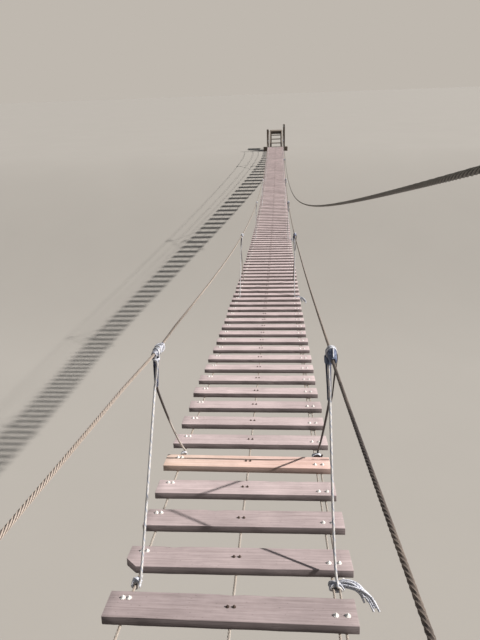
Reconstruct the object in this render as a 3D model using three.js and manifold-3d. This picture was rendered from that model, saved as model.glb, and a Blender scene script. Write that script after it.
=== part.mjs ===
// Rope suspension footbridge: timber planks on wire ropes, with rope hangers tied to two hand cables.
// Millimetres, +Z up, +Y along the bridge from the near end to the far end, +X to the walker's right.
// The origin is the middle of the near sill's underside.

import * as THREE from 'three';
import { mergeVertices } from 'three/addons/utils/BufferGeometryUtils.js';
import Module from 'manifold-3d';

const wasm = await Module();
wasm.setup();

// Driving dimensions
const span = 35000; // front face of the near sill to front face of the far sill
const plankCount = 120;
const bayCount = 6;
const farDrop = 2030; // the far sill stands this much lower
const deckSag = 1420; // below the straight line between the sills
const gap = 0.3; // between pieces that touch
const rideGap = 0.7; // side ropes under the planks, where a rope's straight steps ride highest

const plank = { length: 1000, width: 140, thickness: 38 };
const sideRopes = {
  left: { radius: 6, at: [-430] },
  right: { radius: 5, at: [417, 443] }, // a pair of thinner ropes
};
const centreRope = { width: 12, bite: 2 }; // bite: how far it is pressed into the planks
const cable = {
  radius: 7,
  endHeight: 930,
  midHeight: 860,
  near: { left: -375, right: 430 },
  far: { left: -400, right: 455 },
};
const safety = { radius: 6.5, x: 475, nearHeight: 1690, farHeight: 1200, sag: 1630 };
const hanger = { radius: 6, reach: 2, sleeveRadius: 14, sleeveEnd: { left: 190, right: 260 } };
const nearShift = { left: 18, right: 26 }; // the near knots sit this much nearer to the hanger's middle
const lashing = { radius: 22, tall: 76, bore: 8.1 }; // bore: clear of the hand cable's straight steps
const knot = { radius: { left: 19, right: 25 }, length: 42, slack: 1 };

const sill = { length: 1500, depth: 220, height: 250 };
const post = { size: 120, clear: 15, setBack: 50, left: 1050, nearRight: 1800, farRight: 1320 };
const saddle = { plate: 6, wide: 90, tall: 130, pinRadius: 15, pinLength: 22, headRadius: 22, head: 5 };
const ropePlate = { length: 1000, height: 84, thickness: 8, socketRadius: 12, socketLength: 55 };
const eyePlate = { size: 84, thickness: 8, socketRadius: 14, socketLength: 62 };

const step = { rise: 215, going: 260, count: 3, thickness: 38, start: 240, nosing: 20 };
const stringer = { inner: 325, thickness: 50, cover: 40, depth: 330, foot: 75 };
const landing = { half: 380, depth: 1000, board: 38, beam: 140, beamWidth: 60, leg: 90 };
const anchor = { back: 1400, half: 520, depth: 220, thickness: 20 };
const staySocket = { radius: 17, from: 16, to: 130 };

// Lines of the bridge, as heights over the near sill's underside
const pitch = span / plankCount;
const planksPerBay = plankCount / bayCount;
const hang = (y, drop, sag) => -drop * (y / span) - 4 * sag * (y / span) * (1 - y / span);
const deckTop = (y) => sill.height + hang(y, farDrop, deckSag);
const handLine = (y) => deckTop(y) + cable.endHeight + hang(y, 0, cable.endHeight - cable.midHeight);
const handX = (side, y) => THREE.MathUtils.lerp(cable.near[side], cable.far[side], y / span);
const safetyDrop = farDrop + safety.nearHeight - safety.farHeight;
const safetyLine = (y) => sill.height + safety.nearHeight + hang(y, safetyDrop, safety.sag);
const slope = (line, y) => Math.atan((line(y + 1) - line(y - 1)) / 2);
const squareDown = (line, y, depth) => line(y) - depth / Math.cos(slope(line, y));
const sideRopeLine = (side) => (y) =>
  squareDown(deckTop, y, plank.thickness + rideGap + sideRopes[side].radius);
const centreRopeLine = (y) =>
  squareDown(deckTop, y, plank.thickness - centreRope.bite + centreRope.width / 2);

const looks = {
  plank: new THREE.MeshStandardMaterial({ color: 0x8d827c, roughness: 0.9, metalness: 0 }),
  timber: new THREE.MeshStandardMaterial({ color: 0x6b5a4a, roughness: 0.9, metalness: 0 }),
  steelRope: new THREE.MeshStandardMaterial({ color: 0x4b4a48, roughness: 0.55, metalness: 0.8 }),
  handCable: new THREE.MeshStandardMaterial({ color: 0x7d6a58, roughness: 0.8, metalness: 0.1 }),
  hangerRope: new THREE.MeshStandardMaterial({ color: 0xc9ccd0, roughness: 0.85, metalness: 0 }),
  galvanised: new THREE.MeshStandardMaterial({ color: 0x8b9092, roughness: 0.5, metalness: 0.9 }),
};

// Solids: three.js geometry to a manifold and back
function solid(geometry) {
  const bare = geometry.index ? geometry.toNonIndexed() : geometry.clone();
  bare.deleteAttribute('normal');
  bare.deleteAttribute('uv');
  const merged = mergeVertices(bare, 1e-3);
  const vertProperties = new Float32Array(merged.attributes.position.array);
  const triVerts = new Uint32Array(merged.index.array);
  return new wasm.Manifold(new wasm.Mesh({ numProp: 3, vertProperties, triVerts }));
}

function surface(manifold) {
  const mesh = manifold.getMesh();
  const geometry = new THREE.BufferGeometry();
  geometry.setAttribute('position', new THREE.BufferAttribute(mesh.vertProperties, 3));
  geometry.setIndex(new THREE.BufferAttribute(mesh.triVerts, 1));
  geometry.computeVertexNormals();
  return geometry;
}

const joined = (geometries) => surface(geometries.map(solid).reduce((whole, piece) => whole.add(piece)));

// Box from its lowest to its highest corner
function box(x0, y0, z0, x1, y1, z1) {
  const geometry = new THREE.BoxGeometry(x1 - x0, y1 - y0, z1 - z0);
  return geometry.translate((x0 + x1) / 2, (y0 + y1) / 2, (z0 + z1) / 2);
}

// Round bar from one point to another
function bar(from, to, radius, sides) {
  const along = new THREE.Vector3().subVectors(to, from);
  const geometry = new THREE.CylinderGeometry(radius, radius, along.length(), sides);
  const upright = new THREE.Vector3(0, 1, 0);
  const turn = new THREE.Quaternion().setFromUnitVectors(upright, along.clone().normalize());
  const middle = new THREE.Vector3().addVectors(from, to).multiplyScalar(0.5);
  return geometry.applyQuaternion(turn).translate(middle.x, middle.y, middle.z);
}

// Upright outline in the YZ plane, given as [y, z] points, pushed out along X
function plate(outline, x0, x1) {
  const shape = new THREE.Shape(outline.map(([y, z]) => new THREE.Vector2(y, z)));
  const geometry = new THREE.ExtrudeGeometry(shape, { depth: x1 - x0, bevelEnabled: false });
  const turn = new THREE.Matrix4().set(0, 0, 1, x0, 1, 0, 0, 0, 0, 1, 0, 0, 0, 0, 0, 1);
  return geometry.applyMatrix4(turn);
}

// A rope's hanging line: its place across and its height at each y
class HangingLine extends THREE.Curve {
  constructor(across, line, y0, y1) {
    super();
    Object.assign(this, { across, line, y0, y1 });
  }
  getPoint(t, target = new THREE.Vector3()) {
    const y = THREE.MathUtils.lerp(this.y0, this.y1, t);
    return target.set(this.across(y), y, this.line(y));
  }
}

function ropeSection(radius, sides) {
  const points = [];
  for (let i = 0; i < sides; i += 1) {
    const angle = ((i + 0.5) * 2 * Math.PI) / sides;
    points.push(new THREE.Vector2(radius * Math.cos(angle), radius * Math.sin(angle)));
  }
  return new THREE.Shape(points);
}

function rope(across, line, y0, y1, radius, sides, steps) {
  const extrudePath = new HangingLine(across, line, y0, y1);
  return new THREE.ExtrudeGeometry(ropeSection(radius, sides), { steps, extrudePath, bevelEnabled: false });
}

// Lengths in the code below count from the near sill's front face
const bridge = new THREE.Group();
bridge.position.y = sill.depth / 2;

function add(name, geometry, material) {
  const mesh = new THREE.Mesh(geometry, material);
  mesh.name = name;
  bridge.add(mesh);
  return mesh;
}

// Deck: twenty planks a bay, carried on the bay's length of the centre rope
const socketEnd = ropePlate.thickness + ropePlate.socketLength;

function deckBay(bay) {
  const first = bay * planksPerBay;
  const start = bay === 0 ? socketEnd + gap : first * pitch + gap / 2;
  const end = bay === bayCount - 1 ? span - socketEnd - gap : (first + planksPerBay) * pitch - gap / 2;
  const half = centreRope.width / Math.SQRT2;
  const pieces = [rope(() => 0, centreRopeLine, start, end, half, 4, planksPerBay)];
  for (let i = first; i < first + planksPerBay; i += 1) {
    const y = (i + 0.5) * pitch;
    const board = new THREE.BoxGeometry(plank.length, plank.width, plank.thickness);
    board.translate(0, 0, -plank.thickness / 2).rotateX(slope(deckTop, y)).translate(0, y, deckTop(y));
    pieces.push(board);
  }
  return joined(pieces);
}

for (let bay = 0; bay < bayCount; bay += 1) {
  add(`deck_bay_${bay + 1}`, deckBay(bay), looks.plank);
}

function sideRope(side, x) {
  const from = socketEnd + gap;
  return rope(() => x, sideRopeLine(side), from, span - from, sideRopes[side].radius, 6, plankCount / 2);
}

add('left_deck_rope', sideRope('left', sideRopes.left.at[0]), looks.steelRope);
add('right_deck_rope_inner', sideRope('right', sideRopes.right.at[0]), looks.steelRope);
add('right_deck_rope_outer', sideRope('right', sideRopes.right.at[1]), looks.steelRope);

// An end of the bridge is built as the near one and mirrored for the far one
const ends = {
  near: { at: (y) => y, base: 0, rightPost: post.nearRight },
  far: { at: (y) => span - y, base: -farDrop, rightPost: post.farRight },
};
const point = (end, x, y, z) => new THREE.Vector3(x, end.at(y), z);

function endBox(end, x0, y0, z0, x1, y1, z1) {
  const [a, b] = [end.at(y0), end.at(y1)];
  return box(x0, Math.min(a, b), end.base + z0, x1, Math.max(a, b), end.base + z1);
}

// Hand cables: from a ground anchor, over the pin on the post, along the bridge and down to the other anchor
const pinPeak = -post.setBack - post.size / 2;

function cablePeak(end, side) {
  const y = end.at(pinPeak);
  return new THREE.Vector3(handX(side, y), y, handLine(y));
}

// Point on a stay's line, at a distance from its foot on the ground anchor
function onStay(end, side, distance) {
  const peak = cablePeak(end, side);
  const foot = point(end, peak.x, -anchor.back, end.base + anchor.thickness / 2);
  return foot.clone().addScaledVector(peak.sub(foot).normalize(), distance);
}

function handCable(side) {
  const [near, far] = [cablePeak(ends.near, side), cablePeak(ends.far, side)];
  const pieces = [rope((y) => handX(side, y), handLine, near.y, far.y, cable.radius, 6, 60)];
  for (const end of Object.values(ends)) {
    pieces.push(bar(onStay(end, side, staySocket.to + gap), cablePeak(end, side), cable.radius, 8));
  }
  return joined(pieces);
}

add('left_hand_cable', handCable('left'), looks.handCable);
add('right_hand_cable', handCable('right'), looks.handCable);

// Safety line: right of the walker at shoulder height, from the near right post to the far right post
const postFace = -post.setBack;
const eyeReach = postFace + eyePlate.thickness + eyePlate.socketLength;
const lineEnd = eyeReach + gap;
const lineAcross = () => safety.x;
const shoulderLine = rope(lineAcross, safetyLine, lineEnd, span - lineEnd, safety.radius, 6, 60);
add('safety_line', shoulderLine, looks.steelRope);

// Two points on a line's tangent, for a socket that carries the line on
function alongLine(x, line, end, y0, y1) {
  const [from, to] = [end.at(y0), end.at(y1)];
  const rise = (to - from) * Math.tan(slope(line, from));
  return [new THREE.Vector3(x, from, line(from)), new THREE.Vector3(x, to, line(from) + rise)];
}

// Bar centred on a rope and lying along it
function barOnLine(x, line, y, length, radius, sides) {
  const half = new THREE.Vector3(0, 1, Math.tan(slope(line, y))).setLength(length / 2);
  const middle = new THREE.Vector3(x, y, line(y));
  return bar(middle.clone().sub(half), middle.clone().add(half), radius, sides);
}

// Hanger: a V of rope from a lashing round the hand cable to two knots round the side ropes
function hangerV(side, middle) {
  const top = new THREE.Vector3(handX(side, middle), middle, handLine(middle));
  const line = sideRopeLine(side);
  const ropes = sideRopes[side];
  const x = ropes.at.reduce((sum, each) => sum + each) / ropes.at.length;
  const aim = new THREE.Vector3(x, middle, line(middle));
  const down = aim.sub(top).normalize();
  const below = (distance) => top.clone().addScaledVector(down, distance);
  const fork = below(hanger.sleeveEnd[side]);
  const pieces = [
    bar(below(-lashing.tall / 2), below(lashing.tall / 2), lashing.radius, 8),
    bar(below(lashing.tall / 2 - 10), fork, hanger.sleeveRadius, 8),
  ];
  const holes = [barOnLine(top.x, handLine, middle, 4 * lashing.radius, lashing.bore, 12)];
  for (const way of [-1, 1]) {
    const y = middle + way * hanger.reach * pitch + (way < 0 ? nearShift[side] : 0);
    const foot = new THREE.Vector3(x, y, line(y));
    pieces.push(bar(foot, below(hanger.sleeveEnd[side] - 10), hanger.radius, 6));
    pieces.push(barOnLine(x, line, y, knot.length, knot.radius[side], 8));
    for (const at of ropes.at) {
      holes.push(barOnLine(at, line, y, 2 * knot.length, ropes.radius + knot.slack, 8));
    }
  }
  const whole = pieces.map(solid).reduce((sum, piece) => sum.add(piece));
  return surface(holes.map(solid).reduce((rest, hole) => rest.subtract(hole), whole));
}

for (let bay = 0; bay < bayCount; bay += 1) {
  const middle = (bay + 0.5) * planksPerBay * pitch;
  add(`left_hanger_${bay + 1}`, hangerV('left', middle), looks.hangerRope);
  add(`right_hanger_${bay + 1}`, hangerV('right', middle), looks.hangerRope);
}

// Sill: a timber on the ground that carries the posts on top and the rope anchors on its front face
function sillBeam(end) {
  return endBox(end, -sill.length / 2, -sill.depth, 0, sill.length / 2, 0, sill.height);
}

// The posts stand just outside the hand cables
const outward = { left: -1, right: 1 };
const postInner = (end, side) => cablePeak(end, side).x + outward[side] * post.clear;

function standingPost(end, side, height) {
  const inner = postInner(end, side);
  const outer = inner + outward[side] * post.size;
  const foot = sill.height + gap;
  const [x0, x1] = [Math.min(inner, outer), Math.max(inner, outer)];
  return endBox(end, x0, -post.setBack - post.size, foot, x1, -post.setBack, sill.height + height);
}

// Rope anchor: a steel plate on the sill's front face, with one socket for each deck rope
function ropeAnchor(end) {
  const middle = centreRopeLine(end.at(0)) - end.base;
  const half = ropePlate.length / 2;
  const [low, high] = [middle - ropePlate.height / 2, middle + ropePlate.height / 2];
  const sheet = endBox(end, -half, gap, low, half, ropePlate.thickness, high);
  const socket = (x, line) => {
    const [from, to] = alongLine(x, line, end, ropePlate.thickness / 2, socketEnd);
    return bar(from, to, ropePlate.socketRadius, 8);
  };
  const pieces = [sheet, socket(0, centreRopeLine)];
  for (const [side, ropes] of Object.entries(sideRopes)) {
    pieces.push(...ropes.at.map((x) => socket(x, sideRopeLine(side))));
  }
  return joined(pieces);
}

// Saddle: a plate on the post's inner face, with the pin that the hand cable bends over
function cableSaddle(end, side) {
  const peak = cablePeak(end, side);
  const forward = end.at(1) - end.at(0);
  const arm = new THREE.Vector3(0, forward, forward * Math.tan(slope(handLine, peak.y))).normalize();
  const stay = onStay(end, side, 0).sub(peak).normalize();
  const bisector = new THREE.Vector3().addVectors(arm, stay).normalize();
  const away = (cable.radius + gap + saddle.pinRadius) / Math.sin(bisector.angleTo(arm));
  const centre = peak.clone().addScaledVector(bisector, away);
  const inward = -outward[side];
  const wall = postInner(end, side) + inward * gap;
  const sheet = wall + inward * saddle.plate;
  const pinEnd = sheet + inward * saddle.pinLength;
  const back = box(
    Math.min(wall, sheet), peak.y - saddle.wide / 2, centre.z - saddle.tall / 2,
    Math.max(wall, sheet), peak.y + saddle.wide / 2, centre.z + saddle.tall / 2,
  );
  const at = (x) => new THREE.Vector3(x, centre.y, centre.z);
  const pin = bar(at(wall + inward * 2), at(pinEnd), saddle.pinRadius, 12);
  const head = bar(at(pinEnd - inward), at(pinEnd + inward * saddle.head), saddle.headRadius, 12);
  return joined([back, pin, head]);
}

// Eye plate: the safety line's socket on the front face of the right post
function safetyEye(end) {
  const [from, to] = alongLine(safety.x, safetyLine, end, postFace + eyePlate.thickness / 2, eyeReach);
  const z = from.z - end.base;
  const half = eyePlate.size / 2;
  const x0 = Math.max(postInner(end, 'right') + 2, safety.x - half);
  const [x1, front] = [x0 + eyePlate.size, postFace + eyePlate.thickness];
  const sheet = endBox(end, x0, postFace + gap, z - half, x1, front, z + half);
  return joined([sheet, bar(from, to, eyePlate.socketRadius, 8)]);
}

// Flight of steps behind the sill, up to the landing, midway between the stays
const flightX = (cable.near.left + cable.near.right) / 2;
const stepTop = (i) => sill.height + step.rise * i;
const stepFront = (i) => -step.start - step.going * (i - 1);

function tread(end, i) {
  const [x0, x1] = [flightX - stringer.inner + gap, flightX + stringer.inner - gap];
  const [back, front] = [stepFront(i + 1) + gap, stepFront(i) + step.nosing];
  return endBox(end, x0, back, stepTop(i) - step.thickness, x1, front, stepTop(i));
}

function stringerBoard(end, side) {
  const incline = step.rise / step.going;
  const foot = -sill.depth - gap;
  const top = stepFront(step.count + 1) + gap;
  const upper = (y) => stepTop(1) + stringer.cover + (stepFront(1) - y) * incline;
  const outline = [
    [foot, 0],
    [foot, upper(foot)],
    [top, upper(top)],
    [top, upper(top) - stringer.depth],
    [foot - stringer.foot, upper(foot - stringer.foot) - stringer.depth],
    [foot - stringer.foot, 0],
  ];
  const placed = outline.map(([y, z]) => [end.at(y), end.base + z]);
  const order = end === ends.near ? placed.reverse() : placed;
  const inner = flightX + outward[side] * stringer.inner;
  const outer = inner + outward[side] * stringer.thickness;
  return plate(order, Math.min(inner, outer), Math.max(inner, outer));
}

// Landing: a platform on four legs at the top of the steps
function platform(end) {
  const front = stepFront(step.count + 1);
  const back = front - landing.depth;
  const top = stepTop(step.count + 1);
  const under = top - landing.board;
  const [left, right] = [flightX - landing.half, flightX + landing.half];
  const pieces = [endBox(end, left, back, under, right, front, top)];
  for (const y of [front, back + landing.beamWidth]) {
    const low = under - landing.beam;
    pieces.push(endBox(end, left, y - landing.beamWidth, low, right, y, under + 1));
  }
  for (const x of [left, right - landing.leg]) {
    for (const y of [front - landing.beamWidth, back + landing.leg]) {
      pieces.push(endBox(end, x, y - landing.leg, 0, x + landing.leg, y, under + 1));
    }
  }
  return joined(pieces);
}

// Ground anchor: a steel plate under the landing with a socket for each hand cable
function groundAnchor(end) {
  const { back, half, depth, thickness } = anchor;
  const pieces = [endBox(end, -half, -back - depth / 2, 0, half, -back + depth / 2, thickness)];
  for (const side of ['left', 'right']) {
    const [from, to] = [onStay(end, side, staySocket.from), onStay(end, side, staySocket.to)];
    pieces.push(bar(from, to, staySocket.radius, 8));
  }
  return joined(pieces);
}

for (const [name, end] of Object.entries(ends)) {
  add(`${name}_sill`, sillBeam(end), looks.timber);
  add(`${name}_left_post`, standingPost(end, 'left', post.left), looks.timber);
  add(`${name}_right_post`, standingPost(end, 'right', end.rightPost), looks.timber);
  add(`${name}_rope_anchor`, ropeAnchor(end), looks.galvanised);
  add(`${name}_left_saddle`, cableSaddle(end, 'left'), looks.galvanised);
  add(`${name}_right_saddle`, cableSaddle(end, 'right'), looks.galvanised);
  add(`${name}_safety_eye`, safetyEye(end), looks.galvanised);
  add(`${name}_left_stringer`, stringerBoard(end, 'left'), looks.timber);
  add(`${name}_right_stringer`, stringerBoard(end, 'right'), looks.timber);
  for (let i = 1; i <= step.count; i += 1) {
    add(`${name}_tread_${i}`, tread(end, i), looks.timber);
  }
  add(`${name}_landing`, platform(end), looks.timber);
  add(`${name}_ground_anchor`, groundAnchor(end), looks.galvanised);
}

export default bridge;
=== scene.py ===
# Rope suspension footbridge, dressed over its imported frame.
# Metres, +Z up, +Y along the bridge from the near end to the far end, +X to the walker's right.

import math
import random

import bmesh
import bpy
import numpy as np
from mathutils import Matrix, Vector, noise


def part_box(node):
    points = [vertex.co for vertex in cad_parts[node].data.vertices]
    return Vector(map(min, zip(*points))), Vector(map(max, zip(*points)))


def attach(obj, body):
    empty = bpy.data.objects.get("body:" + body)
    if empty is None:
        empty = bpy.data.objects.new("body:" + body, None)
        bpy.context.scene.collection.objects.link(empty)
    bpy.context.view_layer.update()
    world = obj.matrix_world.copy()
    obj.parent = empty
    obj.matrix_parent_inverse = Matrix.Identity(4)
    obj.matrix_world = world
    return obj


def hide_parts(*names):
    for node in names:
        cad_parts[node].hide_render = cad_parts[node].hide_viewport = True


bl_info = {
    "name": "Rope suspension footbridge",
    "version": (1, 0, 0),
    "blender": (4, 5, 0),
    "location": "View3D > Sidebar > Footbridge",
    "description": "Builds the planks, ropes, hangers, posts and steps of a hanging footbridge",
    "category": "Object",
}

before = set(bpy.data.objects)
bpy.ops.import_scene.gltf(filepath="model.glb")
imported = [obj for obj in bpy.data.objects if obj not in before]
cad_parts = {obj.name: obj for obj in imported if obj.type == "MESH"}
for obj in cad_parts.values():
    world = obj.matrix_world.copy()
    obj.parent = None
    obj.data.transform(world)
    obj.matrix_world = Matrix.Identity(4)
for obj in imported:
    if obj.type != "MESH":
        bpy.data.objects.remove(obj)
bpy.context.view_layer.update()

# Sizes that the bridge shares with its solids
MM = 0.001
SPAN = 35.0  # front face of the near sill to front face of the far sill
PLANK_COUNT = 120
BAY_COUNT = 6
PER_BAY = PLANK_COUNT // BAY_COUNT
PITCH = SPAN / PLANK_COUNT
FAR_DROP = 2.03
DECK_SAG = 1.42
PLANK = Vector((1.0, 0.14, 0.038))
RIDE_GAP = 0.7 * MM  # side ropes under the planks
CENTRE_BITE = 2 * MM  # the centre rope is pressed this far into the planks
ROPE_RADIUS = {"left": 6 * MM, "right": 5 * MM, "centre": 6 * MM}
ROPE_AT = {"left": (-0.430,), "right": (0.417, 0.443), "centre": (0.0,)}
CABLE_RADIUS = 7 * MM
CABLE_X = {"near": {"left": -0.375, "right": 0.430}, "far": {"left": -0.400, "right": 0.455}}
CABLE_HEIGHT = (0.930, 0.860)  # over the deck, at the ends and in the middle
SAFETY = {"radius": 6.5 * MM, "x": 0.475, "near": 1.690, "far": 1.200, "sag": 1.630}
SLEEVE_END = {"left": 0.190, "right": 0.260}  # below the hand cable
LEG_REACH = 2 * PITCH
NEAR_SHIFT = {"left": 18 * MM, "right": 26 * MM}  # the near knots sit this much nearer to the hanger's middle
SLEEVE_ASIDE = {"left": (-6 * MM, -11 * MM), "right": (-9 * MM, 5 * MM)}  # at the hand cable and at the fork
SERVING = {"left": (12.2 * MM, 6.2 * MM), "right": (15 * MM, 7.2 * MM)}  # half its width and half its depth
# Each lashing in millimetres: its middle, to the right of and above the hand cable, its half width and half height,
# and where along the cable it begins, is full, stops being full and ends
LASHING = {
    "left": {"middle": (1, 0), "half": (16, 18), "along": (-65, -15, 55, 110)},
    "right": {"middle": (4, -1), "half": (22, 29), "along": (-150, -50, 5, 36)},
}
SILL = Vector((1.5, 0.22, 0.25))
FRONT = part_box("near_sill")[1].y  # the near sill's front face
POST = {"size": 0.12, "clear": 0.015, "back": 0.05}
PIN_RADIUS = 15 * MM
ROPE_PLATE = {"thick": 8 * MM, "half": 0.5, "tall": 0.084, "socket": 0.059}
EYE_PLATE = {"thick": 8 * MM, "half": 0.042, "socket": 0.062}
JOIN = 0.3 * MM  # left between pieces that touch
BOLT_BACK = {"left": -31 * MM, "centre": 0.0, "right": 27 * MM}  # towards the near end, from a plank's middle
STEP = {"rise": 0.215, "going": 0.26, "count": 3, "start": 0.24}
LANDING = {"half": 0.38, "depth": 1.0, "board": 0.038, "beam": 0.14, "wide": 0.06, "leg": 0.09}
ANCHOR = {"back": 1.4, "half": 0.52, "depth": 0.22, "thick": 0.02}
STAY_SOCKET = {"radius": 17 * MM, "from": 16 * MM, "to": 130 * MM}
FLIGHT_X = (CABLE_X["near"]["left"] + CABLE_X["near"]["right"]) / 2
OUTWARD = {"left": -1, "right": 1}
# The first hangers pull the hand cables aside: places along the bridge, then millimetres to the right and up
PULLED = {
    "left": ((0, 0, 0), (2.4, -3, 10), (2.917, 0, 0), (3.4, -3, 10), (7, 0, 0)),
    "right": ((0, 0, 0), (2.35, -11, 0), (2.8, -12, 0), (3.0, -6, 0), (4.5, -5, 0), (7, 0, 0)),
}
# They also pull the planks' left and right ends up by so many millimetres
LIFTED = {5: (1, 3), 6: (4, 8), 7: (6, 14), 8: (-2, 17), 9: (2, 13), 10: (0, 4)}
# Left and right ends of the planks by the near hangers, in millimetres from the middle
PLANK_ENDS = {7: (502, 490), 8: (501, 507), 9: (491, 510), 10: (499, 501), 11: (517, 499), 12: (511, 508),
              13: (513, 509), 14: (509, 515), 15: (522, 506), 16: (519, 508), 17: (509, 511)}
# The nearest planks take painted shade, darker than the others, which have TONE
NEAR_PLANK_PAINTED_SHADE = {**dict.fromkeys(range(8), 0.70), 8: 0.80, 9: 0.89}
TONE = 1.06


def clamped(share):
    return min(1.0, max(0.0, share))


def ease(value, start, end):
    """Rises smoothly from 0 at the start to 1 at the end."""
    share = clamped((value - start) / (end - start))
    return share * share * (3 - 2 * share)


# Lines of the bridge: y counts from the near sill's front face, heights from its underside
def hang(y, drop, sag):
    part = y / SPAN
    return -drop * part - 4 * sag * part * (1 - part)


def deck_top(y):
    return SILL.z + hang(y, FAR_DROP, DECK_SAG)


def hand_line(y):
    return deck_top(y) + CABLE_HEIGHT[0] + hang(y, 0, CABLE_HEIGHT[0] - CABLE_HEIGHT[1])


def hand_x(side, y):
    near, far = CABLE_X["near"][side], CABLE_X["far"][side]
    return near + (far - near) * y / SPAN


def hand_point(side, y):
    """The hand cable's middle, in the row frame."""
    places, aside, up = zip(*PULLED[side])
    return at(hand_x(side, y) + float(np.interp(y, places, aside)) * MM, y,
              hand_line(y) + float(np.interp(y, places, up)) * MM)


def safety_line(y):
    drop = FAR_DROP + SAFETY["near"] - SAFETY["far"]
    return SILL.z + SAFETY["near"] + hang(y, drop, SAFETY["sag"])


def lifted(x, y):
    """How far the deck is pulled up at a place: even under a plank, changing in the gaps."""
    index = math.floor(y / PITCH - 0.5)
    share = ease((y / PITCH - 0.5 - index) * PITCH, PLANK.y / 2, PITCH - PLANK.y / 2)
    here, there = LIFTED.get(index, (0, 0)), LIFTED.get(index + 1, (0, 0))
    left, right = (a + (b - a) * share for a, b in zip(here, there))
    return (left + (right - left) * (x + 0.5)) * MM


def slope(line, y):
    return math.atan((line(y + MM) - line(y - MM)) / (2 * MM))


def heading(line, y, way=1):
    """The direction in which a line of the bridge runs from y: on, or back where way is -1."""
    return Vector((0, way, way * math.tan(slope(line, y)))).normalized()


def rope_gap(which):
    """Room between the planks and the rope under them."""
    return -CENTRE_BITE if which == "centre" else RIDE_GAP


def deck_rope_line(which):
    depth = PLANK.z + rope_gap(which) + ROPE_RADIUS[which]
    return lambda y: deck_top(y) - depth / math.cos(slope(deck_top, y))


def at(x, y, z):
    """A point of the bridge in the row frame."""
    return Vector((x, y + FRONT, z))


# Two ends: the far one is the near one mirrored, and stands lower
ENDS = {
    "near": {"at": lambda y: y, "base": 0.0, "way": 1},
    "far": {"at": lambda y: SPAN - y, "base": -FAR_DROP, "way": -1},
}
PIN_PEAK = -POST["back"] - POST["size"] / 2


def cable_peak(end, side):
    y = end["at"](PIN_PEAK)
    return Vector((hand_x(side, y), y, hand_line(y)))


def stay_foot(end, side):
    return Vector((cable_peak(end, side).x, end["at"](-ANCHOR["back"]), end["base"] + ANCHOR["thick"] / 2))


def on_stay(end, side, distance):
    foot, peak = stay_foot(end, side), cable_peak(end, side)
    return foot + (peak - foot).normalized() * distance


def pin_place(end, side):
    """Middle of the pin, and the directions in which the cable leaves it."""
    peak = cable_peak(end, side)
    arm = heading(hand_line, peak.y, end["way"])
    stay = (stay_foot(end, side) - peak).normalized()
    middle = (arm + stay).normalized()
    away = (CABLE_RADIUS + JOIN + PIN_RADIUS) / math.sin(middle.angle(arm))
    return peak + middle * away, arm, stay


# Materials
def colour(code):
    """Linear colour of an sRGB hex code."""
    parts = [int(code[i : i + 2], 16) / 255 for i in (1, 3, 5)]
    return (*[p / 12.92 if p <= 0.04045 else ((p + 0.055) / 1.055) ** 2.4 for p in parts], 1.0)


class Nodes:
    """The nodes of a material or world. Each method adds a node and returns one of its output sockets."""

    def __init__(self, owner):
        owner.use_nodes = True
        self.owner, self.tree = owner, owner.node_tree
        self.tree.nodes.clear()

    def add(self, kind, inputs=None, out=0, stops=(), **settings):
        """An input is given a value, or the socket that feeds it."""
        node = self.tree.nodes.new("ShaderNode" + kind)
        for name, value in settings.items():
            setattr(node, name, value)
        for key, value in (inputs or {}).items():
            if isinstance(value, bpy.types.NodeSocket):
                self.tree.links.new(value, node.inputs[key])
            else:
                node.inputs[key].default_value = value
        for index, (place, shade) in enumerate(stops):
            elements = node.color_ramp.elements
            element = elements[index] if index < 2 else elements.new(place)
            element.position, element.color = place, shade
        return node.outputs[out] if node.outputs else None

    def coordinates(self, kind="Object"):
        return self.add("TexCoord", out=kind)

    def attribute(self, name, out="Fac"):
        return self.add("Attribute", out=out, attribute_name=name)

    def stretched(self, where, scale):
        return self.add("Mapping", {"Vector": where, "Scale": scale})

    def noise(self, where, scale, detail, roughness=0.5, distortion=0.0):
        return self.add("TexNoise", {"Vector": where, "Scale": scale, "Detail": detail, "Roughness": roughness,
                                     "Distortion": distortion})

    def ranged(self, value, start, end, low, high, **settings):
        """Takes start..end to low..high."""
        return self.add("MapRange", {"Value": value, "From Min": start, "From Max": end, "To Min": low,
                                     "To Max": high}, **settings)

    def maths(self, operation, *values):
        return self.add("Math", dict(enumerate(values)), operation=operation)

    def mixed(self, share, first, second, **settings):
        return self.add("Mix", {0: share, 6: first, 7: second}, 2, data_type="RGBA", **settings)

    def scaled(self, shade, level):
        return self.add("VectorMath", {0: shade, "Scale": level}, operation="SCALE")

    def surface(self, relief=None, **inputs):
        """Closes the material. Relief is a height, how strong it is and how deep."""
        if relief:
            inputs["Normal"] = self.add("Bump", dict(zip(("Height", "Strength", "Distance"), relief)))
        shader = self.add("BsdfPrincipled", {key.replace("_", " "): value for key, value in inputs.items()})
        self.add("OutputMaterial", {"Surface": shader})
        return self.owner


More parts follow.
